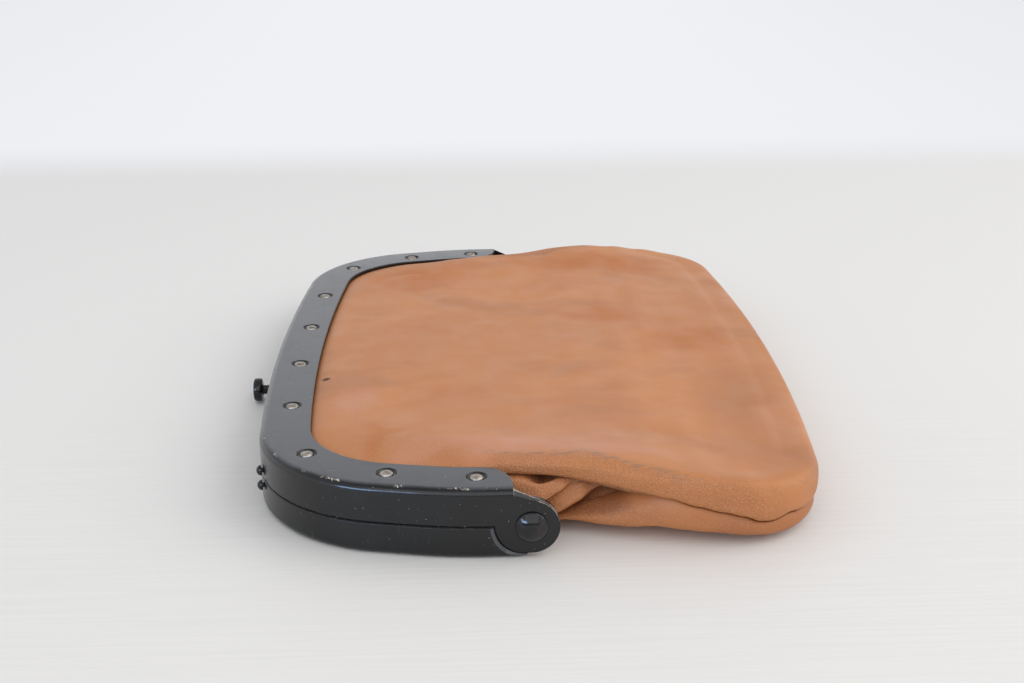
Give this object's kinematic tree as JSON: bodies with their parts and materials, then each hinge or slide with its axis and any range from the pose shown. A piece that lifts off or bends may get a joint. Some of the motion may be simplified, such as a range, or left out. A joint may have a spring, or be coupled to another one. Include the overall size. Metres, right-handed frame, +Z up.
{
  "type": "money pouch",
  "caption": "Leather money pouch with a riveted steel clasp frame, two side hinges and a press knob at the mouth.",
  "frame": {"origin": "under the middle of the closed pouch, on the surface it rests on", "axes": "+X from the mouth towards the bag's bottom, +Y across the pouch along the hinge axis away from the side with the two small studs, +Z up out of the front panel"},
  "size_m": [0.102, 0.1396, 0.0118],
  "materials": {
    "enamel": "worn black enamel on pressed sheet steel, chipped to a pale primer along the edges",
    "rivet_steel": "aged, dull nickel-plated steel",
    "strip_steel": "plain rolled steel strip",
    "spring_steel": "bright rolled spring steel",
    "blackened_steel": "blackened steel with a low gloss",
    "leather": "worn tan leather with a fine grain, greyed along the folds"
  },
  "bodies": {
    "lower_half": {"lower_frame": "enamel", "lower_backing_strip": "strip_steel", "latch_stud": "blackened_steel", "hinge_rivet_near": "blackened_steel", "hinge_rivet_far": "blackened_steel", "lower_rivet_1": "rivet_steel", "lower_rivet_2": "rivet_steel", "lower_rivet_3": "rivet_steel", "lower_rivet_4": "rivet_steel", "lower_rivet_5": "rivet_steel", "lower_rivet_6": "rivet_steel", "lower_rivet_7": "rivet_steel", "lower_rivet_8": "rivet_steel", "lower_rivet_9": "rivet_steel", "lower_rivet_10": "rivet_steel", "back_panel": "leather", "front_panel": "leather", "near_gusset": "leather", "far_gusset": "leather"},
    "upper_half": {"upper_frame": "enamel", "upper_backing_strip": "strip_steel", "catch_strip": "spring_steel", "catch_stud": "blackened_steel", "upper_rivet_1": "rivet_steel", "upper_rivet_2": "rivet_steel", "upper_rivet_3": "rivet_steel", "upper_rivet_4": "rivet_steel", "upper_rivet_5": "rivet_steel", "upper_rivet_6": "rivet_steel", "upper_rivet_7": "rivet_steel", "upper_rivet_8": "rivet_steel", "upper_rivet_9": "rivet_steel", "upper_rivet_10": "rivet_steel"},
    "clasp": {"latch_strip": "spring_steel", "clasp_button": "blackened_steel"}
  },
  "joints": [
    {"name": "frame_hinge", "type": "hinge", "parent": "lower_half", "child": "upper_half", "pos_m": [0.00093, 0, 0.00545], "axis": [0, 1, 0], "range_deg": [0, 100], "deforming": ["front_panel", "near_gusset", "far_gusset"]},
    {"name": "clasp_press", "type": "hinge", "parent": "lower_half", "child": "clasp", "pos_m": [-0.04176, -0.04781, 0.00412], "axis": [0, 0, -1], "range_deg": [0, 1.1], "stiffness_Nm_per_rad": 6}
  ]
}
